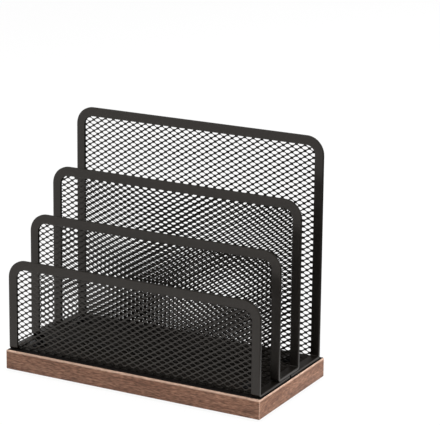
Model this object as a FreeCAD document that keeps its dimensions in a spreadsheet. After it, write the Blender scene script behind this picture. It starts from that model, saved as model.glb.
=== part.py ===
"""Three-slot envelope sorter: two nested wire-mesh trays, screwed to a wooden board.

Lengths are in millimetres.  X runs along the board, -Y is the front and Z is up.
The origin is on the surface that the feet stand on, under the middle of the board.
"""
import FreeCAD, Part
import Sketcher
import math
import os

from FreeCAD import Placement, Vector

# Driving sizes. Each is a cell of the sheet, written once.
SIZES = {
    # wooden board
    "board_length": 200.0,
    "board_depth": 97.6,
    "board_height": 13.8,
    "board_chamfer": 0.8,
    # rubber feet under the board
    "foot_diameter": 12.0,
    "foot_height": 1.5,
    "foot_end_inset": 13.0,
    "foot_side_inset": 12.0,
    # expanded mesh sheet, and the steel strip folded over its edge
    "mesh_thickness": 1.2,
    "strip_thickness": 0.5,
    "strip_width": 6.5,
    "strip_edge_chamfer": 0.4,
    "strip_corner_radius": 13.0,
    "strip_bend_radius": 3.0,
    "strip_joint_gap": 2.0,
    "mesh_edge_clearance": 0.2,
    # net of the mesh sheets
    "gap_pitch_long": 33.75,
    "gap_pitch_short": 20.5,
    "strand_width": 2.6,
    # outer tray: front and rear panels
    "tray_end_inset": 1.5,
    "tray_front_inset": 2.3,
    "outer_depth": 91.4,
    "panel_1_height": 65.7,
    "panel_4_height": 157.8,
    # inner tray: the two panels between them
    "inner_setback": 27.7,
    "inner_depth": 31.5,
    "panel_2_height": 92.4,
    "panel_3_height": 120.6,
    # wood screws and washers that hold the trays down
    "screw_end_inset": 14.1,
    "screw_clearance": 0.3,
    "screw_diameter": 3.5,
    "screw_length": 13.0,
    "screw_head_diameter": 7.4,
    "screw_head_height": 2.2,
    "screw_head_chamfer": 0.9,
    "washer_diameter": 12.0,
    "washer_hole_diameter": 4.0,
    "washer_thickness": 1.0,
}

# Gaps cut down to less than this share of a whole one are left out of the nets.
LEAST_GAP_SHARE = 0.08

doc = FreeCAD.newDocument("EnvelopeSorter")
sheet = doc.addObject("Spreadsheet::Sheet", "Sizes")
for row, (alias, number) in enumerate(SIZES.items(), start=1):
    sheet.set("A%d" % row, alias)
    sheet.set("B%d" % row, str(number))
    sheet.setAlias("B%d" % row, alias)
doc.recompute()

# Places that several pieces share, as expressions of the sheet's cells.
BOARD_TOP = "(Sizes.foot_height + Sizes.board_height)"
STRIP_DEPTH = "(Sizes.mesh_thickness + 2 * Sizes.strip_thickness)"
TRAY_END = "(Sizes.board_length / 2 - Sizes.tray_end_inset)"
OUTER_FRONT = "(-Sizes.board_depth / 2 + Sizes.tray_front_inset)"
INNER_FRONT = "(%s + Sizes.inner_setback)" % OUTER_FRONT
OUTER_REAR = "(%s + Sizes.outer_depth)" % OUTER_FRONT
INNER_REAR = "(%s + Sizes.inner_depth)" % INNER_FRONT
SCREW_X = "(%s - Sizes.screw_end_inset)" % TRAY_END
SCREW_FRONT = "((%s + %s + %s) / 2)" % (OUTER_FRONT, STRIP_DEPTH, INNER_FRONT)
SCREW_REAR = "((%s - %s + %s) / 2)" % (OUTER_REAR, STRIP_DEPTH, INNER_REAR)

# Each tray: its front and rear faces, its underside and its two top edges.
OUTER_TRAY = {
    "front": OUTER_FRONT,
    "rear": OUTER_REAR,
    "base": BOARD_TOP,
    "front_top": "(%s + Sizes.panel_1_height)" % BOARD_TOP,
    "rear_top": "(%s + Sizes.panel_4_height)" % BOARD_TOP,
}
INNER_TRAY = {
    "front": INNER_FRONT,
    "rear": INNER_REAR,
    "base": "(%s + %s)" % (BOARD_TOP, STRIP_DEPTH),
    "front_top": "(%s + Sizes.panel_2_height)" % BOARD_TOP,
    "rear_top": "(%s + Sizes.panel_3_height)" % BOARD_TOP,
}


def value(expression):
    """Number that an expression of the sheet's cells gives."""
    return float(sheet.evalExpression(expression))


def new_body(label):
    body = doc.addObject("PartDesign::Body", label)
    body.Label = label
    body.Placement = Placement()
    return body


def new_sketch(body, name, plane, height="0", across="0"):
    """Sketch on one of the body's own origin planes, raised along its normal."""
    sketch = body.newObject("Sketcher::SketchObject", name)
    support = next(f for f in body.Origin.OriginFeatures if f.Role == plane)
    sketch.AttachmentSupport = [(support, "")]
    sketch.MapMode = "FlatFace"
    sketch.setExpression(".AttachmentOffset.Base.z", height)
    sketch.setExpression(".AttachmentOffset.Base.x", across)
    return sketch


def pin(sketch, geometry, end, across, up):
    """Ties a point of the sketch to the two expressions of its place."""
    for kind, text in (("DistanceX", across), ("DistanceY", up)):
        if text is not None:
            index = sketch.addConstraint(
                Sketcher.Constraint(kind, -1, 1, geometry, end, value(text)))
            sketch.setExpression("Constraints[%d]" % index, text)


def trace(sketch, points, closed=True):
    """Draws lines and arcs through points.

    A point is (across, up), or (across, up, centre across, centre up, turn) where an
    arc about that centre leads to the next point, turning +1 for anticlockwise.
    """
    count = len(points)
    for k in range(count if closed else count - 1):
        here, there = points[k], points[(k + 1) % count]
        start = Vector(value(here[0]), value(here[1]), 0)
        stop = Vector(value(there[0]), value(there[1]), 0)
        if len(here) == 2:
            index = sketch.addGeometry(Part.LineSegment(start, stop))
            first, last = 1, 2
        else:
            centre = Vector(value(here[2]), value(here[3]), 0)
            angles = [math.atan2(p.y - centre.y, p.x - centre.x) for p in (start, stop)]
            if here[4] < 0:
                angles.reverse()
            circle = Part.Circle(centre, Vector(0, 0, 1), (start - centre).Length)
            index = sketch.addGeometry(Part.ArcOfCircle(circle, *angles))
            first, last = (1, 2) if here[4] > 0 else (2, 1)
            pin(sketch, index, 3, here[2], None)
        pin(sketch, index, first, here[0], here[1])
        if k == 0:
            opening = (index, first)
        else:
            sketch.addConstraint(Sketcher.Constraint("Coincident", *ending, index, first))
        ending = (index, last)
    if closed:
        sketch.addConstraint(Sketcher.Constraint("Coincident", *ending, *opening))
    else:
        pin(sketch, *ending, points[-1][0], points[-1][1])


def pad(body, sketch, length):
    feature = body.newObject("PartDesign::Pad", sketch.Name + "Pad")
    feature.Profile = sketch
    feature.setExpression("Length", length)
    doc.recompute()
    return feature


def pipe(body, name, section, path):
    """Carries a section along a path sketch of lines and tangent arcs."""
    feature = body.newObject("PartDesign::AdditivePipe", name)
    feature.Profile = section
    edges = ["Edge%d" % (k + 1) for k in range(path.GeometryCount)]
    feature.Spine = (path, edges)
    doc.recompute()
    return feature


def repeat_at_screws(body, seed):
    """Copies a feature from the front left screw's place to the other three."""
    directions = []
    for name, role, length in (("AcrossRow", "X_Axis", "2 * " + SCREW_X),
                               ("BackRow", "Y_Axis", "%s - %s" % (SCREW_REAR, SCREW_FRONT))):
        row = body.newObject("PartDesign::LinearPattern", body.Name + name)
        axis = next(f for f in body.Origin.OriginFeatures if f.Role == role)
        row.Direction = (axis, [""])
        row.setExpression("Length", length)
        row.Occurrences = 2
        directions.append(row)
    pattern = body.newObject("PartDesign::MultiTransform", body.Name + "Places")
    pattern.Originals = [seed]
    pattern.Transformations = directions
    body.Tip = pattern
    doc.recompute()


def base_board():
    """Square-edged board with every edge broken, and four blind pilot holes."""
    body = new_body("base_board")
    outline = new_sketch(body, "BoardOutline", "XY_Plane", "Sizes.foot_height")
    half_length, half_depth = "Sizes.board_length / 2", "Sizes.board_depth / 2"
    trace(outline, [("-" + half_length, "-" + half_depth), (half_length, "-" + half_depth),
                    (half_length, half_depth), ("-" + half_length, half_depth)])
    slab = pad(body, outline, "Sizes.board_height")
    broken = body.newObject("PartDesign::Chamfer", "BoardChamfer")
    broken.Base = (slab, ["Edge%d" % (k + 1) for k in range(len(slab.Shape.Edges))])
    broken.setExpression("Size", "Sizes.board_chamfer")
    doc.recompute()
    ring = new_sketch(body, "PilotHole", "XY_Plane", BOARD_TOP)
    circle_at(ring, "-" + SCREW_X, SCREW_FRONT, "Sizes.screw_diameter / 2")
    hole = body.newObject("PartDesign::Pocket", "PilotPocket")
    hole.Profile = ring
    hole.setExpression("Length", "Sizes.screw_length - Sizes.washer_thickness"
                       " - Sizes.mesh_thickness - Sizes.strip_thickness")
    doc.recompute()
    repeat_at_screws(body, hole)
    return body


def circle_at(sketch, across, up, radius):
    centre = Vector(value(across), value(up), 0)
    circle = sketch.addGeometry(Part.Circle(centre, Vector(0, 0, 1), value(radius)))
    pin(sketch, circle, 3, across, up)
    index = sketch.addConstraint(Sketcher.Constraint("Radius", circle, value(radius)))
    sketch.setExpression("Constraints[%d]" % index, radius)


def foot(end, side):
    """Rubber disc under one corner of the board."""
    names = {-1: {-1: "foot_front_left", 1: "foot_front_right"},
             1: {-1: "foot_rear_left", 1: "foot_rear_right"}}
    body = new_body(names[side][end])
    disc = new_sketch(body, body.Name + "Disc", "XY_Plane")
    circle_at(disc, "%d * (Sizes.board_length / 2 - Sizes.foot_end_inset)" % end,
              "%d * (Sizes.board_depth / 2 - Sizes.foot_side_inset)" % side,
              "Sizes.foot_diameter / 2")
    pad(body, disc, "Sizes.foot_height")
    return body


def strip_section(body, name, tray, front):
    """Section of the folded strip at the foot of a left leg, open towards the mesh.

    The corners of its closed edge are broken, and the mesh fills the slot in it.
    """
    half = "(%s / 2)" % STRIP_DEPTH
    edge = "(-%s)" % TRAY_END
    middle = "(%s + %s)" % (front, half)
    tip = "(%s + Sizes.strip_width)" % edge
    centre = "(%s + %s)" % (edge, half)
    inner = "(Sizes.mesh_thickness / 2)"
    section = new_sketch(body, name, "XY_Plane", "%s + Sizes.strip_bend_radius" % tray["base"])
    low, high = "(%s - %s)" % (middle, half), "(%s + %s)" % (middle, half)
    slot_low, slot_high = "(%s - %s)" % (middle, inner), "(%s + %s)" % (middle, inner)
    broken = "Sizes.strip_edge_chamfer"
    shoulder = "(%s + %s)" % (edge, broken)
    trace(section, [(tip, low), (shoulder, low), (edge, "(%s + %s)" % (low, broken)),
                    (edge, "(%s - %s)" % (high, broken)), (shoulder, high), (tip, high),
                    (tip, slot_high), (centre, slot_high), (centre, slot_low), (tip, slot_low)])
    return section


def hoop(body, tray, place, face, top):
    """Inverted U of strip round the top and the two ends of one panel."""
    radius = "Sizes.strip_corner_radius"
    path = new_sketch(body, place + "HoopPath", "XZ_Plane", "-" + face)
    foot_level = "(%s + Sizes.strip_bend_radius)" % tray["base"]
    shoulder = "(%s - %s)" % (top, radius)
    left, right = "(-%s)" % TRAY_END, TRAY_END
    trace(path, [(left, foot_level),
                 (left, shoulder, "(%s + %s)" % (left, radius), shoulder, -1),
                 ("(%s + %s)" % (left, radius), top),
                 ("(%s - %s)" % (right, radius), top, "(%s - %s)" % (right, radius), shoulder, -1),
                 (right, shoulder),
                 (right, foot_level)], closed=False)
    return pipe(body, place + "Hoop", strip_section(body, place + "HoopSection", tray, face), path)


def binding(label, tray, joint_end):
    """Steel strip folded over the whole edge of one mesh tray.

    A rail at each end bends up into the front and rear hoops.  The two ends of the
    strip meet in the middle of one rail, joint_end, which is -1 left or 1 right.
    """
    body = new_body(label)
    bend = "Sizes.strip_bend_radius"
    path = new_sketch(body, label + "RailPath", "YZ_Plane", "-" + TRAY_END)
    bend_level = "(%s + %s)" % (tray["base"], bend)
    front_bend, rear_bend = "(%s + %s)" % (tray["front"], bend), "(%s - %s)" % (tray["rear"], bend)
    trace(path, [(tray["front"], bend_level, front_bend, bend_level, 1),
                 (front_bend, tray["base"]),
                 (rear_bend, tray["base"], rear_bend, bend_level, 1),
                 (tray["rear"], bend_level)], closed=False)
    section = strip_section(body, label + "RailSection", tray, tray["front"])
    rail = pipe(body, label + "Rail", section, path)
    other = body.newObject("PartDesign::Mirrored", label + "OtherRail")
    other.Originals = [rail]
    plane = next(f for f in body.Origin.OriginFeatures if f.Role == "YZ_Plane")
    other.MirrorPlane = (plane, [""])
    body.Tip = other
    doc.recompute()
    hoop(body, tray, label + "Front", tray["front"], tray["front_top"])
    hoop(body, tray, label + "Rear", "(%s - %s)" % (tray["rear"], STRIP_DEPTH), tray["rear_top"])
    middle = "((%s + %s) / 2)" % (tray["front"], tray["rear"])
    near, far = "(%s - 2 * Sizes.strip_width)" % TRAY_END, "(%s + Sizes.strip_width)" % TRAY_END
    ends = [near, far] if joint_end > 0 else ["(-%s)" % far, "(-%s)" % near]
    low, high = ("(%s %s Sizes.strip_joint_gap / 2)" % (middle, sign) for sign in "-+")
    gap = new_sketch(body, label + "Joint", "XY_Plane")
    trace(gap, [(ends[0], low), (ends[1], low), (ends[1], high), (ends[0], high)])
    cut = body.newObject("PartDesign::Pocket", label + "JointGap")
    cut.Profile = gap
    cut.Type = "ThroughAll"
    cut.Midplane = True
    doc.recompute()
    return body


def clipped(corners, limits):
    """Convex outline cut by half planes; a limit keeps across*x + up*y <= reach."""
    for across, up, reach in limits:
        kept = []
        for k, here in enumerate(corners):
            there = corners[(k + 1) % len(corners)]
            inside = reach - across * here[0] - up * here[1]
            ahead = reach - across * there[0] - up * there[1]
            if inside >= 0:
                kept.append(here)
            if inside * ahead < 0:
                part = inside / (inside - ahead)
                kept.append((here[0] + part * (there[0] - here[0]), here[1] + part * (there[1] - here[1])))
        corners = kept
    return corners


def area(corners):
    pairs = zip(corners, corners[1:] + corners[:1])
    return abs(sum(a[0] * b[1] - b[0] * a[1] for a, b in pairs)) / 2


def net_gaps(limits, low, high, reach, lands=()):
    """Diamond gaps of expanded mesh, in staggered rows, cut short at the limits.

    Gap centres lie half a pitch apart both ways, at every other place.  A strand's
    two edges stand half its width off the line that joins neighbouring gap corners.
    A land is the limits of a square, and a gap that reaches into it is left closed.
    """
    long_half, short_half = value("Sizes.gap_pitch_long / 2"), value("Sizes.gap_pitch_short / 2")
    spacing = 2 * long_half * short_half / math.hypot(long_half, short_half)
    shrink = 1 - value("Sizes.strand_width") / spacing
    across, up = long_half * shrink, short_half * shrink
    columns = math.ceil(reach / long_half)
    gaps = []
    for row in range(math.floor(low / short_half), math.ceil(high / short_half) + 1):
        for column in range(-columns, columns + 1):
            if (row + column) % 2 == 0:
                x, y = column * long_half, row * short_half
                corners = clipped([(x - across, y), (x, y - up), (x + across, y), (x, y + up)], limits)
                if len(corners) < 3 or area(corners) < LEAST_GAP_SHARE * 2 * across * up:
                    continue
                if not any(clipped(corners, land) for land in lands):
                    gaps.append(corners)
    return gaps


def holed_sheet(outline, gaps, place, thickness, rings=()):
    """Flat net: one face with a hole for each gap and ring, made thick."""
    wires = [Part.Wire(outline)] + [Part.Wire(ring) for ring in rings]
    for corners in gaps:
        points = [place(*c) for c in corners]
        wires.append(Part.makePolygon(points + points[:1]))
    return Part.makeFace(wires, "Part::FaceMakerCheese").extrude(thickness)


def mesh_node(label, shape):
    piece = doc.addObject("Part::Feature", label)
    piece.Label = label
    piece.Shape = shape
    piece.Placement = Placement()
    return piece


def mesh_cover():
    """How far the edge of the mesh sheet lies inside the strip's closed edge."""
    return value("(%s / 2 + Sizes.mesh_edge_clearance)" % STRIP_DEPTH)


def hidden_margin():
    """Solid edge of the mesh sheet, half as wide as the strip's walls cover."""
    return (value("Sizes.strip_width") - mesh_cover()) / 2


def panel_net(label, tray, face, top):
    """Flat net of one panel, from its bend line up to the hoop."""
    foot_level = value(tray["base"] + " + Sizes.strip_bend_radius")
    half, height = value(TRAY_END) - mesh_cover(), value(top) - foot_level - mesh_cover()
    radius = value("Sizes.strip_corner_radius") - mesh_cover()
    depth = value(face + " + Sizes.strip_thickness")

    def place(across, up):
        return Vector(across, depth, foot_level + up)

    slant = math.sqrt(0.5)
    inset = radius * (1 - slant)
    outline = [
        Part.LineSegment(place(-half, 0), place(half, 0)),
        Part.LineSegment(place(half, 0), place(half, height - radius)),
        Part.Arc(place(half, height - radius), place(half - inset, height - inset),
                 place(half - radius, height)),
        Part.LineSegment(place(half - radius, height), place(radius - half, height)),
        Part.Arc(place(radius - half, height), place(inset - half, height - inset),
                 place(-half, height - radius)),
        Part.LineSegment(place(-half, height - radius), place(-half, 0)),
    ]
    margin, bar = hidden_margin(), value("Sizes.strand_width / 2")
    corner_reach = (half + height - 2 * radius) * slant + radius - margin
    limits = [(1, 0, half - margin), (-1, 0, half - margin), (0, 1, height - margin), (0, -1, -bar),
              (slant, slant, corner_reach), (-slant, slant, corner_reach)]
    gaps = net_gaps(limits, 0, height, half)
    print(label, len(gaps), "gaps")
    edges = [segment.toShape() for segment in outline]
    return mesh_node(label, holed_sheet(edges, gaps, place, Vector(0, value("Sizes.mesh_thickness"), 0)))


def floor_net(label, tray, screw_places=()):
    """Flat net of the tray's floor, between its two bend lines, with its screw holes.

    The mesh is closed round each hole, as far as one strand's width from it.
    """
    half = value(TRAY_END) - mesh_cover()
    reach = value("(%s - %s) / 2 - Sizes.strip_bend_radius" % (tray["rear"], tray["front"]))
    middle = value("(%s + %s) / 2" % (tray["front"], tray["rear"]))
    level = value(tray["base"] + " + Sizes.strip_thickness")

    def place(across, along):
        return Vector(across, middle + along, level)

    corners = [place(-half, -reach), place(half, -reach), place(half, reach), place(-half, reach)]
    outline = Part.makePolygon(corners + corners[:1]).Edges
    margin, bar = hidden_margin(), value("Sizes.strand_width / 2")
    limits = [(1, 0, half - margin), (-1, 0, half - margin), (0, 1, reach - bar), (0, -1, reach - bar)]
    hole = value("Sizes.screw_diameter / 2 + Sizes.screw_clearance")
    land = hole + value("Sizes.strand_width")
    spots = [(x, y - middle) for x, y in screw_places]
    lands = [[(1, 0, x + land), (-1, 0, land - x), (0, 1, y + land), (0, -1, land - y)] for x, y in spots]
    gaps = net_gaps(limits, -reach, reach, half, lands)
    print(label, len(gaps), "gaps")
    rings = [Part.makeCircle(hole, place(x, y)) for x, y in spots]
    thickness = Vector(0, 0, value("Sizes.mesh_thickness"))
    return mesh_node(label, holed_sheet(outline, gaps, place, thickness, rings))


def bend_net(label, tray, face, side):
    """The sheet's quarter bend at the front (side -1) or the rear (side 1) of a tray.

    Strands cross it where the net's rows meet it, between a bar along each bend line.
    """
    half, margin = value(TRAY_END) - mesh_cover(), hidden_margin()
    bend, width = value("Sizes.strip_bend_radius"), value("Sizes.strand_width")
    outer = bend - value("Sizes.strip_thickness")
    inner = outer - value("Sizes.mesh_thickness")
    middle, level = value(face) - side * bend, value(tray["base"]) + bend
    bar_share = width / (math.pi * outer)

    def ring_part(low, high, first, last):
        """Part of the quarter ring between two ends across and two shares of its turn."""
        def point(radius, share):
            turn = share * math.pi / 2
            return Vector(low, middle + side * radius * math.cos(turn), level - radius * math.sin(turn))

        half_way = (first + last) / 2
        edges = [Part.Arc(point(outer, first), point(outer, half_way), point(outer, last)).toShape(),
                 Part.LineSegment(point(outer, last), point(inner, last)).toShape(),
                 Part.Arc(point(inner, last), point(inner, half_way), point(inner, first)).toShape(),
                 Part.LineSegment(point(inner, first), point(outer, first)).toShape()]
        return Part.Face(Part.Wire(edges)).extrude(Vector(high - low, 0, 0))

    spans = [(-half, margin - half), (half - margin, half)]
    pitch = value("Sizes.gap_pitch_long")
    columns = math.floor((half - margin - width) / pitch + 0.5)
    for column in range(-columns, columns):
        centre = (column + 0.5) * pitch
        spans.append((centre - width / 2, centre + width / 2))
    bars = [ring_part(-half, half, 0, bar_share), ring_part(-half, half, 1 - bar_share, 1)]
    strands = [ring_part(low, high, bar_share, 1 - bar_share) for low, high in spans]
    return mesh_node(label, bars[0].fuse(bars[1:] + strands).removeSplitter())


def tray_mesh(name, tray, screw_places=()):
    """Expanded mesh sheet of one tray, bent up at both ends, as five solids.

    The real sheet is one piece.  Its flat nets and its two bends meet face to face
    along the bend lines, so that each is a simple body.
    """
    rear_face = "(%s - %s)" % (tray["rear"], STRIP_DEPTH)
    return [
        panel_net(name + "_front_mesh", tray, tray["front"], tray["front_top"]),
        bend_net(name + "_front_mesh_bend", tray, tray["front"], -1),
        floor_net(name + "_floor_mesh", tray, screw_places),
        bend_net(name + "_rear_mesh_bend", tray, tray["rear"], 1),
        panel_net(name + "_rear_mesh", tray, rear_face, tray["rear_top"]),
    ]


def washers():
    """Four flat washers on the outer tray's floor, in the front slot and the rear one."""
    body = new_body("screw_washers")
    level = "(%s + Sizes.strip_thickness + Sizes.mesh_thickness)" % BOARD_TOP
    ring = new_sketch(body, "WasherRing", "XY_Plane", level)
    circle_at(ring, "-" + SCREW_X, SCREW_FRONT, "Sizes.washer_diameter / 2")
    circle_at(ring, "-" + SCREW_X, SCREW_FRONT, "Sizes.washer_hole_diameter / 2")
    repeat_at_screws(body, pad(body, ring, "Sizes.washer_thickness"))
    return body


def screws():
    """Four pan-head wood screws, drawn without their threads."""
    body = new_body("tray_screws")
    seat = "(%s + Sizes.strip_thickness + Sizes.mesh_thickness + Sizes.washer_thickness)" % BOARD_TOP
    profile = new_sketch(body, "ScrewProfile", "XZ_Plane", "-" + SCREW_FRONT, "-" + SCREW_X)
    shank, rim = "(Sizes.screw_diameter / 2)", "(Sizes.screw_head_diameter / 2)"
    tip = "(%s - Sizes.screw_length)" % seat
    head_top = "(%s + Sizes.screw_head_height)" % seat
    trace(profile, [("0", tip), (shank, tip), (shank, seat),
                    (rim, seat), (rim, "(%s - Sizes.screw_head_chamfer)" % head_top),
                    ("(%s - Sizes.screw_head_chamfer)" % rim, head_top), ("0", head_top)])
    turned = body.newObject("PartDesign::Revolution", "ScrewTurned")
    turned.Profile = profile
    turned.ReferenceAxis = (profile, ["V_Axis"])
    turned.Angle = 360
    doc.recompute()
    repeat_at_screws(body, turned)
    return body


pieces = [
    base_board(),
    binding("outer_tray_binding", OUTER_TRAY, 1),
    binding("inner_tray_binding", INNER_TRAY, -1),
    washers(),
    screws(),
]
screw_places = [(end * value(SCREW_X), value(row)) for end in (-1, 1) for row in (SCREW_FRONT, SCREW_REAR)]
pieces += tray_mesh("outer_tray", OUTER_TRAY, screw_places) + tray_mesh("inner_tray", INNER_TRAY)
pieces += [foot(end, side) for side in (-1, 1) for end in (-1, 1)]
doc.recompute()

for thing in doc.Objects:
    faults = [state for state in thing.State if state in ("Invalid", "Error")]
    if faults:
        raise RuntimeError("%s is %s" % (thing.Name, ", ".join(faults)))
for piece in pieces:
    if piece.Shape.isNull() or not piece.Shape.isValid():
        raise RuntimeError("%s has no valid shape" % piece.Label)

os.makedirs("parts", exist_ok=True)
for piece in pieces:
    piece.Shape.exportStep("parts/%s.step" % piece.Label)
    print(piece.Label, len(piece.Shape.Solids), "solids", round(piece.Shape.Volume), "mm3")
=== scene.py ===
"""Three-slot envelope sorter: black mesh trays bound in folded steel, on a brown wooden board.

Lengths are in metres, in the part's own frame: X runs along the board, -Y is the front
and Z is up.  Each tray is laid out flat, as a sheet with a width across X and a length
from the front panel's top edge to the rear panel's, and then folded into its U.
"""

import math

import bpy
import numpy as np
from mathutils import Matrix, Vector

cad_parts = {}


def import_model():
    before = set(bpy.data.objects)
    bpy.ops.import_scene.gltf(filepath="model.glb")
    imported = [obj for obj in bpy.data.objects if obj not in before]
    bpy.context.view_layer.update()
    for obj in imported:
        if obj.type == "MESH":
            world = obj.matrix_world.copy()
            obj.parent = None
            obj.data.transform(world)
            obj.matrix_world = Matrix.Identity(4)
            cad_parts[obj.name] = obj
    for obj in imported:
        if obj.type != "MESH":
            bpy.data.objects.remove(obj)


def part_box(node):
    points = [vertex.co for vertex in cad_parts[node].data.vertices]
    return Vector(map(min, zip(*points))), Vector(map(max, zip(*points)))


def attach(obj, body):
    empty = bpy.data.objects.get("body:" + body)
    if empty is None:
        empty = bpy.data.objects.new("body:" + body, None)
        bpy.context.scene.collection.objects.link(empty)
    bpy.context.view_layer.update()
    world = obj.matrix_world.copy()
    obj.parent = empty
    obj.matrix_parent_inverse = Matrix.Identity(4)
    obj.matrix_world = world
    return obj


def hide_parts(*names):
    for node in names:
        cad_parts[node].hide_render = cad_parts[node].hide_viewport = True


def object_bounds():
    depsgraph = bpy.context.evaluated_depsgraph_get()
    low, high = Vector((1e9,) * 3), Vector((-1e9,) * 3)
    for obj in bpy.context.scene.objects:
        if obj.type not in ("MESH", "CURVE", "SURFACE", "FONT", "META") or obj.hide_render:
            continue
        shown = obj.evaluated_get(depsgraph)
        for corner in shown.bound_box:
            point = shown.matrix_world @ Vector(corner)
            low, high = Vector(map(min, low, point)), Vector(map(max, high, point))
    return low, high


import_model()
cad_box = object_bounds()

MM = 0.001
QUARTER = math.pi / 2

# Net of the expanded mesh: distance between gaps along a row, a strand's width along the
# sheet and thickness across it, how far its two edges lean out of the sheet to either
# side, the power that this lean follows, and how blunt a gap's corners are at its two
# ends and in the middle.
GAP_PITCH = 6.632 * MM
STRAND_WIDTH = 0.88 * MM
STRAND_THICKNESS = 0.26 * MM
STRAND_LEAN = 0.24 * MM
LEAN_POWER = 0.3
END_BLUNTNESS = 0.14
MIDDLE_BLUNTNESS = 0.33

# Each tray's net: distance between rows along the sheet, the middle of one gap (across
# and along the sheet), and how far the gaps drift across for each length along.
NETS = {
    "outer_tray": (4.1 * MM, (-81.53 * MM, 37.49 * MM), 0.0),
    "inner_tray": (4.0465 * MM, (-81.81 * MM, 12.07 * MM), -0.00548),
}

# The four ways from a gap's middle to its knuckles, in half pitches, across and along.
WAYS = np.array([[1, 0], [0, 1], [-1, 0], [0, -1]])

# Steel strip folded over the sheets' edges: its width on the sheet, its steel's
# thickness, the radius of its outer edge at the sheet's corners, the rounding of its
# fold, how far its two lips are pressed towards the sheet, and the gap between its ends.
# Past HIDDEN_EDGE, counted from the outer edge, the net is squeezed together under it.
STRIP_WIDTH = 6.5 * MM
STRIP_WALL = 0.5 * MM
STRIP_CORNER = 13.0 * MM
STRIP_FOLD = 0.45 * MM
LIP_PRESS = 0.15 * MM
JOINT_GAP = 2.0 * MM
HIDDEN_EDGE = 3.2 * MM

# Board: rounding of its lower and upper edges, radius of its upright ones, how far the
# painted shade on its top passes the tray, and how far down from the top the painted highlight of
# the top edge reaches.
BOARD_ROUNDING = 0.8 * MM
BOARD_CORNER = 1.0 * MM
SHADE_BORDER = 1.0 * MM
HIGHLIGHT_REACH = 1.5 * MM

# A face of the board is part of a broken edge where no part of its normal along an axis
# reaches FLAT_LOOK.  The edge looks up where the normal's height is over UPWARD_LOOK, and
# gets the full painted highlight there.  It is upright where that height is within
# UPWARD_LOOK of level, and gets a weaker painted highlight there; edges that look down get none.
FLAT_LOOK = 0.98
UPWARD_LOOK = 0.1
UPRIGHT_HIGHLIGHT = 0.45

# Screws: radius of head and shank, length of the point, the rim's share of the head's
# height, how much of a full dome's radius the head has, and its cross recess: how far it
# reaches from the middle, half its slots' width, its depth and the width of its slopes.
SCREW_HEAD = 3.7 * MM
SCREW_SHANK = 1.75 * MM
SCREW_POINT = 3.0 * MM
HEAD_RIM = 0.35
DOME_SHARE = 0.98
RECESS_REACH = 1.9 * MM
RECESS_WIDTH = 0.75 * MM
RECESS_DEPTH = 1.1 * MM
RECESS_SLOPE = 0.3 * MM

# Washers and feet: radii of the washers, rounding of small edges and of the feet, and
# the feet's hollow underside as shares of their radius and of their rounding.
WASHER_RIM = 6.0 * MM
WASHER_HOLE = 2.0 * MM
EDGE_ROUNDING = 0.25 * MM
FOOT_ROUNDING = 0.5 * MM
FOOT_HOLLOW = ((0.02, 1.0), (0.6, 0.6), (0.75, 0.0))

# Colours: powder coat and its sheen's tint, stained wood from its dark streaks to its
# pale ones, what flecks and mottle multiply it by, pale wood for the painted highlight on
# the edges, and the plain tones of the painted shade on the board's top, steel, rubber and the
# floor.
COAT_TONES = ((0.0050, 0.0042, 0.0033), (0.0066, 0.0055, 0.0044))
COAT_SHEEN = (1.0, 0.93, 0.87)
STREAK_TONES = ((0.140, 0.066, 0.040), (0.182, 0.092, 0.057), (0.226, 0.121, 0.077))
FLECK_TINTS = ((0.56, 0.53, 0.53), (0.95, 0.95, 0.95), (1.4, 1.4, 1.43))
MOTTLE_TINTS = ((0.84, 0.82, 0.82), (1.14, 1.13, 1.12))
HIGHLIGHT_TONES = ((0.34, 0.22, 0.155), (0.56, 0.39, 0.30))
SHADE_TONE = (0.006, 0.005, 0.0045)
STEEL_TONE = (0.045, 0.044, 0.045)
RUBBER_TONE = (0.015, 0.015, 0.015)
FLOOR_TONE = (0.85, 0.85, 0.85)

# Depth of the fine relief on painted steel, wood and rubber.
RELIEF = 0.1 * MM

# Photograph: picture size in pixels, the camera's place and turn in degrees, its focal
# length in pixels, where its axis meets the picture, its sensor's width in millimetres
# and the nearest distance that it sees.
PICTURE = (440, 425)
CAMERA_PLACE = (0.66746, -1.16079, 0.48494)
CAMERA_YAW = 28.26
CAMERA_PITCH = 12.741
CAMERA_ROLL = 0.64
FOCAL_PIXELS = 2021.04
AXIS_PIXEL = (222.14, 120.52)
SENSOR = 36.0
NEAREST = 0.05

# Studio: half the floor's width, the share of it that the camera sees plain white, and
# the level of the even light all round.  What reflections see of the floor and of the
# world is a white that fades: the way along which it does, where that starts and ends,
# and the level at its end.
FLOOR_REACH = 4.0
FLOOR_WHITE_SHARE = 0.93
WORLD_LEVEL = 0.25
FLOOR_FADING = ((0.9, 0.1, 0.0), 0.135, 0.172, 0.08)
WORLD_FADING = ((0.3, 0.75, 0.6), -0.3, 0.2, 0.42)

# Soft square lamps: name, place, size across and power in watts.
LAMPS = (
    ("key_front_left", (-1.0, -1.3, 1.1), 0.9, 6.0),
    ("fill_front_right", (1.55, -0.2, 0.45), 0.7, 18.0),
    ("rim_rear_high", (0.55, 1.6, 0.95), 0.7, 24.0),
    ("top", (-0.1, -0.1, 1.7), 1.2, 36.0),
)


def new_piece(name, points, faces, material, smooth_degrees=35.0):
    """Mesh object of the part, riding on its one body, at the origin with its place in its mesh.

    faces is a list of arrays, one for each number of corners.
    """
    mesh = bpy.data.meshes.new(name)
    mesh.from_pydata(np.asarray(points).reshape(-1, 3).tolist(), [],
                     [face for group in faces for face in group.tolist()])
    mesh.polygons.foreach_set("use_smooth", np.ones(len(mesh.polygons), bool))
    mesh.set_sharp_from_angle(angle=math.radians(smooth_degrees))
    mesh.materials.append(material)
    piece = bpy.data.objects.new(name, mesh)
    bpy.context.scene.collection.objects.link(piece)
    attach(piece, "root")
    return piece


def quarter_turn(points):
    """Angles from 0 to a right angle in even steps."""
    return np.linspace(0, QUARTER, points)


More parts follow.
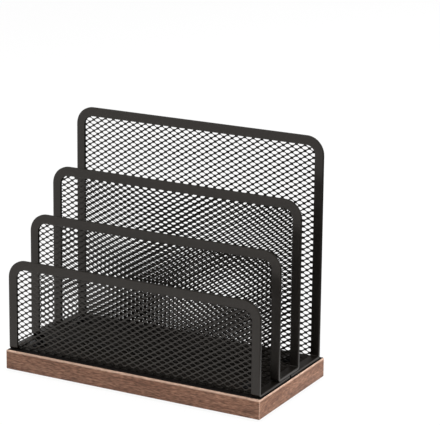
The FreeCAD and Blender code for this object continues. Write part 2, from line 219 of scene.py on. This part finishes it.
def ring_quads(rings, around, wrap=False):
    """Quads between neighbouring rings of a grid whose rings close on themselves."""
    ring = np.arange(rings if wrap else rings - 1)[:, None]
    step = np.arange(around)[None, :]
    ahead, beside = (ring + 1) % rings, (step + 1) % around
    corners = (ring * around + step, ring * around + beside,
               ahead * around + beside, ahead * around + step)
    return np.stack(np.broadcast_arrays(*corners), -1).reshape(-1, 4)


def tube_faces(rings, around):
    """Faces of a closed tube: its quads and one flat face at each end."""
    first = np.arange(around)
    ends = np.stack([first[::-1], first + (rings - 1) * around])
    return [ring_quads(rings, around), ends]


def four_times(faces, count):
    """The faces of four alike blocks of count points each, one after the other."""
    offset = count * np.arange(4)[:, None, None]
    return [(group[None] + offset).reshape(-1, group.shape[1]) for group in faces]


class Tray:
    """One bent sheet: its flat outline, and the fold that carries it into the part.

    v runs from the front panel's top edge down, along the floor and up to the rear
    panel's top edge; h is the height off the sheet's middle, outwards.  The strip passes
    the sheet's own edge by its cover, and its depth is its thickness with the sheet in it.
    """

    def __init__(self, name):
        low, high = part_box(name + "_binding")
        sheet_low, sheet_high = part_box(name + "_front_mesh")
        self.half = high.x
        self.cover = high.x - sheet_high.x
        self.depth = 2 * (sheet_low.y - low.y) + (sheet_high.y - sheet_low.y)
        self.radius = sheet_low.z - low.z - self.depth / 2
        self.front_top = sheet_high.z + self.cover
        self.front = low.y + self.depth / 2
        self.front_run = self.front_top - sheet_low.z
        self.turn = self.radius * QUARTER
        self.floor_run = (high.y - low.y) - self.depth - 2 * self.radius
        self.length = self.front_run + 2 * self.turn + self.floor_run + (high.z - sheet_low.z)
        self.floor_start = self.front_run + self.turn
        self.floor_middle = self.floor_start + self.floor_run / 2
        self.rear_start = self.floor_start + self.floor_run

    def fold(self, x, v, h):
        """Straight, quarter turn, straight, quarter turn, straight.

        The turned angle a is the part of v that lies in the two bends, over the
        radius; the outward normal is (-cos a, -sin a) in Y and Z.
        """
        first = np.clip((v - self.front_run) / self.radius, 0, QUARTER)
        second = np.clip((v - self.rear_start) / self.radius, 0, QUARTER)
        along_floor = np.clip(v - self.floor_start, 0, self.floor_run)
        up_rear = np.maximum(v - self.rear_start - self.turn, 0)
        down_front = np.minimum(v, self.front_run)
        y = self.front + self.radius * (1 - np.cos(first) + np.sin(second)) + along_floor
        z = (self.front_top - down_front
             - self.radius * (np.sin(first) - 1 + np.cos(second)) + up_rear)
        turned = first + second
        return np.stack([x + 0 * y, y - h * np.cos(turned), z - h * np.sin(turned)], -1)

    def outline(self, joint_side):
        """Places (x, v) on the sheet's edge and the inward direction there, joint to joint.

        A rectangle with rounded corners; the straight sides get extra places in the bends.
        """
        corner = quarter_turn(points=13)
        bend = np.linspace(0, self.turn, 9)
        side = np.concatenate([self.front_run + bend, self.rear_start + bend])
        across, radius = self.half - STRIP_CORNER, STRIP_CORNER
        far = self.length - radius
        joint = self.floor_middle
        start, end = np.array([joint + JOINT_GAP / 2]), np.array([joint - JOINT_GAP / 2])

        def straight(v, sign):
            return np.stack([np.full_like(v, sign * self.half), v,
                             np.full_like(v, -sign), np.zeros_like(v)], -1)

        def turned(angle, x_sign, v_centre):
            x_part, v_part = np.cos(angle), np.sin(angle)
            return np.stack([x_sign * across + radius * x_part, v_centre + radius * v_part,
                             -x_part, -v_part], -1)

        path = np.concatenate([
            straight(start, 1), straight(side[side > joint], 1),
            turned(corner, 1, far), turned(corner + QUARTER, -1, far),
            straight(side[::-1], -1),
            turned(corner + 2 * QUARTER, -1, radius), turned(corner + 3 * QUARTER, 1, radius),
            straight(side[side < joint], 1), straight(end, 1)])
        return path * np.array([joint_side, 1, joint_side, 1])


def strip_section(depth):
    """Ring of points (inwards, outwards) round the folded strip's section, a long C.

    A quarter circle of radius STRIP_FOLD rounds each side of the closed edge.  Each wall
    bows towards the sheet: at the share t of its length by LIP_PRESS times t squared.
    """
    half, slot = depth / 2, depth / 2 - STRIP_WALL
    lip = STRIP_WIDTH - EDGE_ROUNDING
    share = np.array([1.0, 0.75, 0.5, 0.25])
    pressed = LIP_PRESS * share ** 2
    outer_wall = np.stack([STRIP_FOLD + share * (lip - STRIP_FOLD), half - pressed], -1)
    inner_wall = np.stack([STRIP_WALL + share * (lip - STRIP_WALL), slot - pressed], -1)
    turn = np.linspace(QUARTER, 2 * QUARTER, 6)
    fold = np.stack([STRIP_FOLD + STRIP_FOLD * np.cos(turn),
                     half - STRIP_FOLD + STRIP_FOLD * np.sin(turn)], -1)
    lip_end = [[STRIP_WIDTH, half - STRIP_WALL / 2 - LIP_PRESS]]
    outside = np.concatenate([lip_end, outer_wall, fold])
    inside = np.concatenate([inner_wall, [[STRIP_WALL, slot]]])
    return np.concatenate([outside, outside[::-1] * (1, -1), inside * (1, -1), inside[::-1]])


def binding(name, tray, joint_side, material):
    """The strip: its section carried along the sheet's outline, then folded with the sheet.

    Its two ends meet on the joint side, 1 for the right and -1 for the left.
    """
    path = tray.outline(joint_side)
    section = strip_section(tray.depth)
    x = path[:, None, 0] + section[None, :, 0] * path[:, None, 2]
    v = path[:, None, 1] + section[None, :, 0] * path[:, None, 3]
    points = tray.fold(x, v, section[None, :, 1] + 0 * x)
    faces = [group[:, ::-joint_side] for group in tube_faces(len(path), len(section))]
    piece = new_piece(name + "_folded_strip", points, faces, material)
    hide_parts(name + "_binding")


def squeezed(distance, start, limit):
    """Distances past start drawn in, so that none passes limit: the share t becomes t / (1 + t)."""
    room = limit - start
    past = np.maximum(distance - start, 0) / room
    return np.minimum(distance, start) + room * past / (1 + past)


def past_corner(tray, x, along):
    """How far places lie beyond the middle of a corner's circle, across and along.

    along is counted from the sheet's middle.  The last array is true inside a corner.
    """
    past_x = np.abs(x) - (tray.half - STRIP_CORNER)
    past_v = np.abs(along) - (tray.length / 2 - STRIP_CORNER)
    return past_x, past_v, (past_x > 0) & (past_v > 0)


def on_sheet(tray, x, v):
    """Whether places lie on the sheet, a rectangle with rounded corners."""
    middle = tray.length / 2
    inside = (np.abs(x) < tray.half - tray.cover) & (np.abs(v - middle) < middle - tray.cover)
    past_x, past_v, in_corner = past_corner(tray, x, v - middle)
    return inside & (~in_corner | (np.hypot(past_x, past_v) < STRIP_CORNER - tray.cover))


def held_in(tray, x, v):
    """Places of the net drawn in under the strip: across, along and round the corners."""
    middle = tray.length / 2
    along = v - middle
    x = np.sign(x) * squeezed(np.abs(x), tray.half - HIDDEN_EDGE, tray.half - tray.cover)
    along = np.sign(along) * squeezed(np.abs(along), middle - HIDDEN_EDGE, middle - tray.cover)
    past_x, past_v, in_corner = past_corner(tray, x, along)
    reach = np.hypot(past_x, past_v)
    drawn_in = squeezed(reach, STRIP_CORNER - HIDDEN_EDGE, STRIP_CORNER - tray.cover)
    moved = drawn_in / np.maximum(reach, MM / 1000) - 1
    x = np.where(in_corner, x + np.sign(x) * moved * past_x, x)
    along = np.where(in_corner, along + np.sign(along) * moved * past_v, along)
    return x, middle + along


def laid(layout, columns, rows):
    """Places across and along the sheet of points of the net's grid of half pitches."""
    row_pitch, first_gap, drift = layout
    along = rows * (row_pitch / 2) + first_gap[1]
    return columns * (GAP_PITCH / 2) + first_gap[0] + drift * (along - first_gap[1]), along


def gap_middles(tray, layout):
    """Columns and rows of the gaps on the sheet: every other point of the grid."""
    columns = math.ceil(2 * tray.half / (GAP_PITCH / 2))
    rows = math.ceil(tray.length / (layout[0] / 2))
    column, row = np.meshgrid(np.arange(-columns, columns + 1), np.arange(-rows, rows + 1),
                              indexing="ij")
    chosen = ((column + row) % 2 == 0) & on_sheet(tray, *laid(layout, column, row))
    return column[chosen], row[chosen]


def gap_rim(half_long, half_high):
    """Eight places round a gap's middle: its diamond less the strands, with blunt corners."""
    spacing = 2 * half_long * half_high / math.hypot(half_long, half_high)
    tips = WAYS * np.array([half_long, half_high]) * (1 - STRAND_WIDTH / spacing)
    blunt = np.array([END_BLUNTNESS, MIDDLE_BLUNTNESS] * 2)[:, None]
    before = tips + blunt * (np.roll(tips, 1, axis=0) - tips)
    after = tips + blunt * (np.roll(tips, -1, axis=0) - tips)
    return np.stack([before, after], 1).reshape(8, 2)


def strand_faces(knuckles, count):
    """Faces of the strands.  knuckles numbers the four round each gap; the net has count.

    The points are the knuckles' outer ones, their inner ones and then eight for each
    gap's rim.  Either side of the sheet has a quad along each side of a gap and a
    triangle at each of its corners; quads close the strands that end at the net's edge.
    """
    rim = 2 * count + np.arange(len(knuckles) * 8).reshape(-1, 8)
    fours, threes = [], []
    for k in range(4):
        nearest, following = knuckles[:, k], knuckles[:, (k + 1) % 4]
        before, after, opposite = rim[:, 2 * k], rim[:, 2 * k + 1], rim[:, (2 * k + 2) % 8]
        fours.append(np.stack([following, nearest, after, opposite], -1))
        fours.append(np.stack([nearest + count, following + count, opposite, after], -1))
        threes.append(np.stack([nearest, before, after], -1))
        threes.append(np.stack([nearest + count, after, before], -1))
    sides = np.stack([knuckles, np.roll(knuckles, -1, axis=1)], -1).reshape(-1, 2)
    _, which, uses = np.unique(np.sort(sides, axis=1), axis=0, return_inverse=True,
                               return_counts=True)
    one, other = sides[uses[which.reshape(-1)] == 1].T
    fours.append(np.stack([one, other, other + count, one + count], -1))
    return [np.concatenate(fours), np.concatenate(threes)]


def net(name, tray, material):
    """Expanded mesh over the whole sheet, as one closed surface.

    Gap centres stand at every other point of a grid of half pitches.  Round each gap
    lies a diamond whose corners are the knuckles, on the other points.  A strand runs
    between two knuckles: thick along the diamond's side, thin at the gap's edge.  It
    leans like a louvre: the gap's edge stands out of the sheet by STRAND_LEAN times the
    share of the gap's half height, to the power LEAN_POWER, to one side above the gap's
    middle and to the other below it.
    """
    layout = NETS[name]
    column, row = gap_middles(tray, layout)
    around = np.stack([column[:, None] + WAYS[:, 0], row[:, None] + WAYS[:, 1]], -1)
    places, knuckles = np.unique(around.reshape(-1, 2), axis=0, return_inverse=True)
    knuckle_x, knuckle_v = held_in(tray, *laid(layout, places[:, 0], places[:, 1]))

    gap_x, gap_v = laid(layout, column, row)
    rim = gap_rim(GAP_PITCH / 2, layout[0] / 2)
    rim_x, rim_v = held_in(tray, gap_x[:, None] + rim[:, 0], gap_v[:, None] + rim[:, 1])
    share = np.abs(rim[:, 1]) / np.abs(rim[:, 1]).max()
    lean = STRAND_LEAN * np.sign(rim[:, 1]) * share ** LEAN_POWER

    thick = STRAND_THICKNESS / 2
    points = np.concatenate([
        tray.fold(knuckle_x, knuckle_v, thick), tray.fold(knuckle_x, knuckle_v, -thick),
        tray.fold(rim_x, rim_v, lean).reshape(-1, 3)])
    faces = strand_faces(knuckles.reshape(-1, 4), len(places))
    piece = new_piece(name + "_net", points, faces, material)
    parts = ("front_mesh", "front_mesh_bend", "floor_mesh", "rear_mesh_bend", "rear_mesh")
    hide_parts(*[name + "_" + part for part in parts])


def board(material):
    """Rounded rectangle carried up the board, drawn in at bottom and top by a quarter circle."""
    low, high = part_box("base_board")
    half = np.array([(high.x - low.x) / 2, (high.y - low.y) / 2])
    turn = quarter_turn(points=5)
    arm = np.stack([np.cos(turn), np.sin(turn)], -1)
    corners = (((1, 1), arm), ((-1, 1), arm[::-1]), ((-1, -1), arm), ((1, -1), arm[::-1]))
    outwards = np.concatenate([places * signs for signs, places in corners])
    middles = np.repeat([(half - BOARD_CORNER) * signs for signs, _ in corners], len(arm), axis=0)
    rise = BOARD_ROUNDING * (1 - np.cos(turn))
    level = np.concatenate([low.z + rise, high.z - rise[::-1]])
    bulge = np.concatenate([np.sin(turn), np.sin(turn[::-1])])
    reach = BOARD_CORNER - BOARD_ROUNDING * (1 - bulge)
    flat = middles[None] + reach[:, None, None] * outwards[None]
    height = np.broadcast_to(level[:, None, None], flat.shape[:2] + (1,))
    points = np.concatenate([flat, height], -1)
    faces = tube_faces(len(level), len(middles))
    piece = new_piece("base_board_wood", points, faces, material, smooth_degrees=20.0)
    grain_map(piece.data)
    painted_highlight_on_edges(piece.data)
    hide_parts("base_board")


def corner_normals(mesh):
    """The way each face looks, once for each of its corners."""
    totals, normals = np.zeros(len(mesh.polygons), int), np.zeros(len(mesh.polygons) * 3)
    mesh.polygons.foreach_get("loop_total", totals)
    mesh.polygons.foreach_get("normal", normals)
    return np.repeat(normals.reshape(-1, 3), totals, axis=0)


def grain_map(mesh):
    """UV map in metres, U along the grain: along X, but along Y on the two ends.

    Each way a face can look has its own stretch of the map.
    """
    vertex, places = np.zeros(len(mesh.loops), int), np.zeros(len(mesh.vertices) * 3)
    mesh.loops.foreach_get("vertex_index", vertex)
    mesh.vertices.foreach_get("co", places)
    x, y, z = places.reshape(-1, 3)[vertex].T
    facing = np.abs(corner_normals(mesh)).argmax(axis=1)
    u = np.choose(facing, [y + cad_side(0), x, x])
    v = np.choose(facing, [z + 3 * cad_side(1), z + 2 * cad_side(1), y])
    grain = mesh.uv_layers.new(name="grain")
    grain.data.foreach_set("uv", np.stack([u, v], -1).astype(np.float32).reshape(-1))


def painted_highlight_on_edges(mesh):
    """Attribute for the painted highlight on the board's edges: 1 where a broken edge looks up,
    less on upright ones, else 0.
    """
    normal = corner_normals(mesh)
    broken = np.abs(normal).max(axis=1) < FLAT_LOOK
    highlight = np.select([broken & (normal[:, 2] > UPWARD_LOOK),
                        broken & (normal[:, 2] > -UPWARD_LOOK)], [1.0, UPRIGHT_HIGHLIGHT], 0.0)
    values = mesh.attributes.new("painted_edge_highlight", "FLOAT", "CORNER").data
    values.foreach_set("value", highlight.astype(np.float32))


def cad_side(axis):
    """Length of the whole part along one axis."""
    return float(cad_box[1][axis] - cad_box[0][axis])


def lathe(profile, around=48):
    """Rings of points: a profile of (radius, height) turned about the Z axis."""
    angle = np.linspace(0, 2 * math.pi, around, endpoint=False)
    radius, height = profile[:, None, 0], profile[:, None, 1]
    return np.stack([radius * np.cos(angle), radius * np.sin(angle), height + 0 * angle], -1)


def at_four_places(rings, node, reach):
    """The rings at the middles of a node's four alike solids, each as wide as twice the reach."""
    low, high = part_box(node)
    places = [(x, y, 0) for x in (low.x + reach, high.x - reach)
              for y in (low.y + reach, high.y - reach)]
    return np.array(places)[:, None, None, :] + rings[None]


def screws(material):
    """Domed heads with a cross recess, on plain pointed shanks.

    The dome falls from the middle as the root of one less the radius squared.  The
    recess lowers it where the smaller of |x| and |y| is under the slot's half width and
    the larger is under its reach, with short slopes.
    """
    low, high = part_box("tray_screws")
    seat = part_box("screw_washers")[1].z
    share = np.linspace(1, 0.01, 26)
    dome = HEAD_RIM + (1 - HEAD_RIM) * np.sqrt(1 - (DOME_SHARE * share) ** 2)
    head = np.stack([share * SCREW_HEAD, seat + (high.z - seat) * dome], -1)
    shank = [[SCREW_SHANK / 20, low.z], [SCREW_SHANK, low.z + SCREW_POINT],
             [SCREW_SHANK, seat], [SCREW_HEAD, seat]]
    rings = lathe(np.concatenate([shank, head]))
    across = np.sort(np.abs(rings[..., :2]), axis=-1)
    in_width = np.clip((RECESS_WIDTH - across[..., 0]) / RECESS_SLOPE, 0, 1)
    in_reach = np.clip((RECESS_REACH - across[..., 1]) / RECESS_SLOPE, 0, 1)
    on_dome = (np.arange(len(rings)) >= len(shank))[:, None]
    rings[..., 2] -= RECESS_DEPTH * in_width * in_reach * on_dome
    faces = four_times(tube_faces(*rings.shape[:2]), rings[..., 0].size)
    points = at_four_places(rings, "tray_screws", SCREW_HEAD)
    piece = new_piece("tray_screw_heads", points, faces, material)
    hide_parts("tray_screws")


def washers(material):
    """Flat rings: a rectangle with four quarter-circle corners, turned about each screw."""
    low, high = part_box("screw_washers")
    angle = np.linspace(0, 2 * math.pi, 16, endpoint=False) + math.pi / 16
    corner = np.stack([np.cos(angle), np.sin(angle)], -1)
    middle = np.array([(WASHER_RIM + WASHER_HOLE) / 2, (low.z + high.z) / 2])
    half = np.array([(WASHER_RIM - WASHER_HOLE) / 2, (high.z - low.z) / 2]) - EDGE_ROUNDING
    rings = lathe(middle + np.sign(corner) * half + EDGE_ROUNDING * corner)
    faces = four_times([ring_quads(*rings.shape[:2], wrap=True)], rings[..., 0].size)
    points = at_four_places(rings, "screw_washers", WASHER_RIM)
    piece = new_piece("washer_rings", points, faces, material)
    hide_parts("screw_washers")


def foot(node, material):
    """Rubber disc with a rounded lower edge and a slightly hollow underside."""
    low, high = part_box(node)
    rim, r = (high.x - low.x) / 2, FOOT_ROUNDING
    turn = quarter_turn(points=6)
    hollow = np.array(FOOT_HOLLOW) * (rim, r) + (0, low.z)
    edge = np.stack([rim - r + r * np.sin(turn), low.z + r - r * np.cos(turn)], -1)
    top = [[rim, high.z], [hollow[0, 0], high.z]]
    middle = ((low.x + high.x) / 2, (low.y + high.y) / 2, 0)
    rings = lathe(np.concatenate([hollow, edge, top])) + middle
    faces = tube_faces(*rings.shape[:2])
    piece = new_piece(node + "_disc", rings, faces, material, smooth_degrees=30.0)
    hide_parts(node)


def shader(name, **sockets):
    """New material; returns it with its node tree and its Principled shader."""
    material = bpy.data.materials.new(name)
    material.use_nodes = True
    tree = material.node_tree
    principled = tree.nodes["Principled BSDF"]
    for socket, setting in sockets.items():
        principled.inputs[socket.replace("_", " ")].default_value = setting
    return material, tree, principled


def add(tree, kind, inputs=(), **settings):
    """New node: its properties and inputs by name, and inputs that may be other outputs."""
    node = tree.nodes.new(kind)
    for name, setting in settings.items():
        if hasattr(node, name):
            setattr(node, name, setting)
        else:
            node.inputs[name.replace("_", " ")].default_value = setting
    for name, source in dict(inputs).items():
        if isinstance(source, bpy.types.NodeSocket):
            tree.links.new(source, node.inputs[name])
        else:
            node.inputs[name].default_value = source
    return node


def object_place(tree):
    """The place on a piece, in metres from the part's origin."""
    return add(tree, "ShaderNodeTexCoord").outputs["Object"]


def noise(tree, place, scale, detail, distortion=0.0):
    """Noise with so many features in each unit of the place."""
    return add(tree, "ShaderNodeTexNoise", {"Vector": place}, Scale=scale, Detail=detail,
               Distortion=distortion).outputs["Fac"]


def ramp(tree, source, stops, colours):
    """Colours over a factor: each is reached at its stop."""
    node = add(tree, "ShaderNodeValToRGB", {"Fac": source})
    elements = node.color_ramp.elements
    while len(elements) < len(stops):
        elements.new(0.5)
    for element, stop, colour in zip(elements, stops, colours):
        element.position = stop
        element.color = (*colour, 1)
    return node.outputs["Color"]


def ranged(tree, source, **ends):
    """A factor carried from one range, 0 to 1 if not said, to another."""
    return add(tree, "ShaderNodeMapRange", {"Value": source}, **ends).outputs["Result"]


def calculated(tree, operation, *terms):
    """Result of one calculation with numbers and other nodes' outputs."""
    return add(tree, "ShaderNodeMath", enumerate(terms), operation=operation).outputs[0]


def multiplied(tree, *colours):
    """Product of several colours."""
    product = colours[0]
    for colour in colours[1:]:
        product = add(tree, "ShaderNodeMix", {0: 1.0, 6: product, 7: colour},
                      data_type="RGBA", blend_type="MULTIPLY").outputs[2]
    return product


def blended(tree, factor, first, second):
    """First colour where the factor is 0, second where it is 1."""
    return add(tree, "ShaderNodeMix", {0: factor, 6: first, 7: second},
               data_type="RGBA").outputs[2]


def relief(tree, principled, height, strength):
    """Fine relief on a shader's surface."""
    bump = add(tree, "ShaderNodeBump", {"Height": height}, Strength=strength, Distance=RELIEF)
    tree.links.new(bump.outputs["Normal"], principled.inputs["Normal"])


def painted_metal():
    """Semi-matte black powder coat: a fine orange peel and slightly uneven tone."""
    material, tree, principled = shader("black_powder_coat", Roughness=0.33,
                                        Specular_Tint=(*COAT_SHEEN, 1))
    place = object_place(tree)
    patch = noise(tree, place, scale=60.0, detail=3.0)
    peel = noise(tree, place, scale=1400.0, detail=2.0)
    tone = ramp(tree, patch, (0.3, 0.7), COAT_TONES)
    tree.links.new(tone, principled.inputs["Base Color"])
    relief(tree, principled, peel, strength=0.25)
    return material


def painted_shade_on_top(tree, axes):
    """Painted shade: 1 on the board's top from a border before the outer tray to the rear edge, 0
    elsewhere, where the top lies in the tray's shade.
    """
    low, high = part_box("outer_tray_binding")
    board_rear, board_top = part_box("base_board")[1].yz
    front = low.y - SHADE_BORDER
    on_top = calculated(tree, "GREATER_THAN", axes["Z"], board_top - EDGE_ROUNDING)
    across = calculated(tree, "COMPARE", axes["X"], 0.0, high.x + SHADE_BORDER)
    along = calculated(tree, "COMPARE", axes["Y"], (front + board_rear) / 2,
                       (board_rear - front) / 2)
    return calculated(tree, "MULTIPLY", calculated(tree, "MULTIPLY", on_top, across), along)


def stained_wood():
    """Brown stained wood along the grain map: streaks, fine flecks and a soft mottle.

    The broken edges get a painted highlight, full where they look up and weaker on upright
    ones, and the top under and just before the tray gets a painted shade: near-black and matte.
    """
    material, tree, principled = shader("brown_stained_wood", Specular_IOR_Level=0.25)
    grain = add(tree, "ShaderNodeUVMap", uv_map="grain").outputs["UV"]

    def grain_noise(along, across, detail, distortion=0.0):
        """Noise with so many features a metre along the grain and across it."""
        stretched = add(tree, "ShaderNodeMapping", {"Vector": grain}, Scale=(along, across, 1.0))
        return noise(tree, stretched.outputs["Vector"], 1.0, detail, distortion)

    long_streaks = grain_noise(along=22.0, across=420.0, detail=4.0, distortion=0.5)
    soft_patches = grain_noise(along=60.0, across=130.0, detail=3.0)
    fleck = grain_noise(along=240.0, across=1000.0, detail=3.0)
    streak = ramp(tree, long_streaks, (0.3, 0.5, 0.7), STREAK_TONES)
    mottle = ramp(tree, soft_patches, (0.3, 0.7), MOTTLE_TINTS)
    flecks = ramp(tree, fleck, (0.34, 0.5, 0.66), FLECK_TINTS)
    stain = multiplied(tree, streak, flecks, mottle)
    # Painted highlight: the pale wood colour that the board's lit edges get.
    highlight = multiplied(tree, ramp(tree, fleck, (0.3, 0.6), HIGHLIGHT_TONES), mottle)

    axes = add(tree, "ShaderNodeSeparateXYZ", {"Vector": object_place(tree)}).outputs
    board_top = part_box("base_board")[1].z
    # Painted highlight: a pale band down the board's faces just under the top edge.
    near_top = ranged(tree, axes["Z"], From_Min=board_top - HIGHLIGHT_REACH,
                      From_Max=board_top - BOARD_ROUNDING, To_Max=0.8)
    broken = add(tree, "ShaderNodeAttribute", attribute_name="painted_edge_highlight").outputs["Fac"]
    edge = calculated(tree, "MAXIMUM", broken, near_top)
    # Painted shade: the board's top under and just before the tray, where it lies in the tray's
    # shade, is coloured near-black.
    painted = painted_shade_on_top(tree, axes)
    colour = blended(tree, painted, blended(tree, edge, stain, highlight), (*SHADE_TONE, 1))
    tree.links.new(colour, principled.inputs["Base Color"])
    # The painted shade is also made fully rough, so that it shows no reflection.
    rough = ranged(tree, painted, To_Min=0.55, To_Max=1.0)
    tree.links.new(rough, principled.inputs["Roughness"])
    relief(tree, principled, fleck, strength=0.3)
    return material


def blackened_steel():
    """Black oxide on steel, with faint clouds in its roughness."""
    material, tree, principled = shader("blackened_steel", Metallic=1.0,
                                        Base_Color=(*STEEL_TONE, 1))
    cloud = noise(tree, object_place(tree), scale=500.0, detail=3.0)
    rough = ranged(tree, cloud, To_Min=0.25, To_Max=0.45)
    tree.links.new(rough, principled.inputs["Roughness"])
    return material


def black_rubber():
    """Matte black rubber with a fine grain."""
    material, tree, principled = shader("black_rubber", Roughness=0.8,
                                        Base_Color=(*RUBBER_TONE, 1))
    fine = noise(tree, object_place(tree), scale=2500.0, detail=2.0)
    relief(tree, principled, fine, strength=0.3)
    return material


def seen_white(tree, surface, kind, share, fading):
    """A surface that is lit as given, but looks plain white to the camera over a share of it.

    So it does through glass.  Reflections show a white that fades along one way, as on
    white paper that is lit from one side.
    """
    way, first, last, level = fading
    path = add(tree, "ShaderNodeLightPath").outputs
    place = add(tree, "ShaderNodeNewGeometry").outputs["Position"]
    along = add(tree, "ShaderNodeVectorMath", {0: place, 1: way}, operation="DOT_PRODUCT")
    fade = ranged(tree, along.outputs["Value"], From_Min=first, From_Max=last,
                  To_Min=1.0, To_Max=level)
    seen = calculated(tree, "MAXIMUM", path["Is Camera Ray"], path["Is Transmission Ray"])
    factor = calculated(tree, "MULTIPLY", seen, share)
    white = add(tree, kind, Color=(1, 1, 1, 1), Strength=1.0).outputs[0]
    fading_white = add(tree, kind, {"Strength": fade}, Color=(1, 1, 1, 1)).outputs[0]
    plain = add(tree, "ShaderNodeMixShader", {0: factor, 1: surface, 2: white}).outputs[0]
    mirrored = {0: path["Is Glossy Ray"], 1: plain, 2: fading_white}
    return add(tree, "ShaderNodeMixShader", mirrored).outputs[0]


def floor():
    """Plain pale floor that shows white to the camera and keeps a soft shadow."""
    mesh = bpy.data.meshes.new("floor")
    corners = [(x * FLOOR_REACH, y * FLOOR_REACH, 0)
               for x, y in ((-1, -1), (1, -1), (1, 1), (-1, 1))]
    mesh.from_pydata(corners, [], [(0, 1, 2, 3)])
    material, tree, principled = shader("pale_floor", Roughness=0.9,
                                        Base_Color=(*FLOOR_TONE, 1))
    shown = seen_white(tree, principled.outputs[0], "ShaderNodeEmission", FLOOR_WHITE_SHARE,
                       FLOOR_FADING)
    tree.links.new(shown, tree.nodes["Material Output"].inputs["Surface"])
    mesh.materials.append(material)
    piece = bpy.data.objects.new("floor", mesh)
    bpy.context.scene.collection.objects.link(piece)


def world():
    """Even grey light; white where the camera looks past the floor."""
    scene_world = bpy.data.worlds.new("studio")
    bpy.context.scene.world = scene_world
    scene_world.use_nodes = True
    tree = scene_world.node_tree
    lit = tree.nodes["Background"]
    lit.inputs["Color"].default_value = (1, 1, 1, 1)
    lit.inputs["Strength"].default_value = WORLD_LEVEL
    shown = seen_white(tree, lit.outputs[0], "ShaderNodeBackground", 1.0, WORLD_FADING)
    tree.links.new(shown, tree.nodes["World Output"].inputs["Surface"])


def stand(name, data, place, right, up, back):
    """Lamp or camera at its place, turned to look along the opposite of back."""
    holder = bpy.data.objects.new(name, data)
    bpy.context.scene.collection.objects.link(holder)
    turn = Matrix(np.stack([right, up, back], -1).tolist()).to_4x4()
    holder.matrix_world = Matrix.Translation(place) @ turn
    return holder


def lamps():
    """Soft lamps that look at the trays' middle.  No reflection shows them."""
    middle = np.array([0.0, 0.0, cad_side(2) / 2])
    for name, place, size, power in LAMPS:
        lamp = bpy.data.lights.new(name, "AREA")
        lamp.size = size
        lamp.energy = power
        back = np.array(place) - middle
        back /= np.linalg.norm(back)
        right = np.cross((0, 0, 1), back)
        almost_above = np.linalg.norm(right) < 0.1
        if almost_above:
            right = np.array([1.0, 0, 0])
        right /= np.linalg.norm(right)
        holder = stand(name, lamp, place, right, np.cross(back, right), back)
        holder.visible_glossy = False


def camera():
    """The photograph's own view: yaw to the left, pitch down, a slight roll and a lens shift."""
    yaw, pitch, roll = (math.radians(a) for a in (CAMERA_YAW, CAMERA_PITCH, CAMERA_ROLL))
    ahead = np.array([-math.sin(yaw) * math.cos(pitch), math.cos(yaw) * math.cos(pitch),
                      -math.sin(pitch)])
    level = np.array([math.cos(yaw), math.sin(yaw), 0.0])
    right = level * math.cos(roll) + np.cross(level, ahead) * math.sin(roll)
    data = bpy.data.cameras.new("photo_camera")
    data.sensor_width = SENSOR
    data.lens = FOCAL_PIXELS * SENSOR / PICTURE[0]
    data.shift_x = (PICTURE[0] / 2 - AXIS_PIXEL[0]) / PICTURE[0]
    data.shift_y = (AXIS_PIXEL[1] - PICTURE[1] / 2) / PICTURE[0]
    data.clip_start = NEAREST
    bpy.context.scene.camera = stand("photo_camera", data, CAMERA_PLACE, right,
                                     np.cross(right, ahead), -ahead)


black = painted_metal()
steel = blackened_steel()
outer, inner = Tray("outer_tray"), Tray("inner_tray")
net("outer_tray", outer, black)
net("inner_tray", inner, black)
binding("outer_tray", outer, 1, black)
binding("inner_tray", inner, -1, black)
board(stained_wood())
screws(steel)
washers(steel)
rubber = black_rubber()
for foot_node in ("foot_front_left", "foot_front_right", "foot_rear_left", "foot_rear_right"):
    foot(foot_node, rubber)

floor()
world()
lamps()
camera()
bpy.context.scene.view_settings.view_transform = "Standard"
